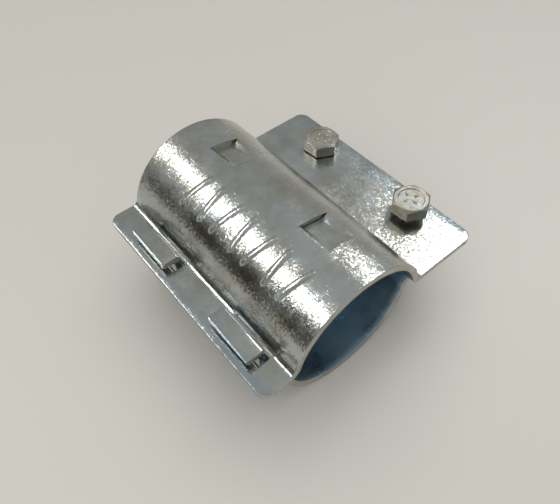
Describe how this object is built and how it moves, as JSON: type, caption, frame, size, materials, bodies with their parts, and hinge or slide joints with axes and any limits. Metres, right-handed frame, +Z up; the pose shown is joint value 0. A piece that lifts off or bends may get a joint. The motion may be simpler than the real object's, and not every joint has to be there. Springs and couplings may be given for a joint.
{
  "type": "pipe repair clamp",
  "caption": "Pressed-steel sleeve clamp for a pipe: two half shells that hook together on one side and bolt through flat plates on the other.",
  "frame": {"origin": "on the pipe's axis, half way along the clamp", "axes": "+Y along the pipe, from the near end to the far end; +X towards the bolt plates; +Z up to the shell that the bolt heads sit on"},
  "size_m": [0.0959, 0.093, 0.056],
  "materials": {
    "zinc_sheet": "bright zinc-plated pressed sheet, glossy with a fine mottle",
    "zinc_fastener": "zinc-plated forged steel, satin with a faint straw tint",
    "zinc_washer": "zinc-plated stamped steel, satin"
  },
  "bodies": {
    "upper_shell": {"upper_shell": "zinc_sheet"},
    "lower_shell": {"lower_shell": "zinc_sheet"},
    "bolt_near": {"bolt_near": "zinc_fastener"},
    "bolt_far": {"bolt_far": "zinc_fastener"},
    "nut_near": {"nut_near": "zinc_fastener", "washer_near": "zinc_washer"},
    "nut_far": {"nut_far": "zinc_fastener", "washer_far": "zinc_washer"}
  },
  "joints": [
    {"name": "lower_shell_swing", "type": "hinge", "parent": "upper_shell", "child": "lower_shell", "pos_m": [-0.0333, 0, 0.00655], "axis": [0, 1, 0], "range_deg": [-0.73, 6.18]},
    {"name": "bolt_near_turn", "type": "hinge", "parent": "upper_shell", "child": "bolt_near", "pos_m": [0.0472, -0.024, 0.0055], "axis": [0, 0, 1], "range_deg": [-340, 2880]},
    {"name": "bolt_far_turn", "type": "hinge", "parent": "upper_shell", "child": "bolt_far", "pos_m": [0.0472, 0.024, 0.0055], "axis": [0, 0, 1], "range_deg": [-340, 2880]},
    {"name": "nut_near_travel", "type": "slide", "parent": "upper_shell", "child": "nut_near", "axis": [0, 0, -1], "range_m": [-0.0012, 0.01005]},
    {"name": "nut_far_travel", "type": "slide", "parent": "upper_shell", "child": "nut_far", "axis": [0, 0, -1], "range_m": [-0.0012, 0.01005]}
  ],
  "couplings": [
    {"joint": "bolt_near_turn", "follows": "lower_shell_swing", "ratio": 465.42},
    {"joint": "bolt_far_turn", "follows": "lower_shell_swing", "ratio": 465.42},
    {"joint": "nut_near_travel", "follows": "lower_shell_swing", "m_per_rad": 0.092592},
    {"joint": "nut_far_travel", "follows": "lower_shell_swing", "m_per_rad": 0.092592}
  ]
}
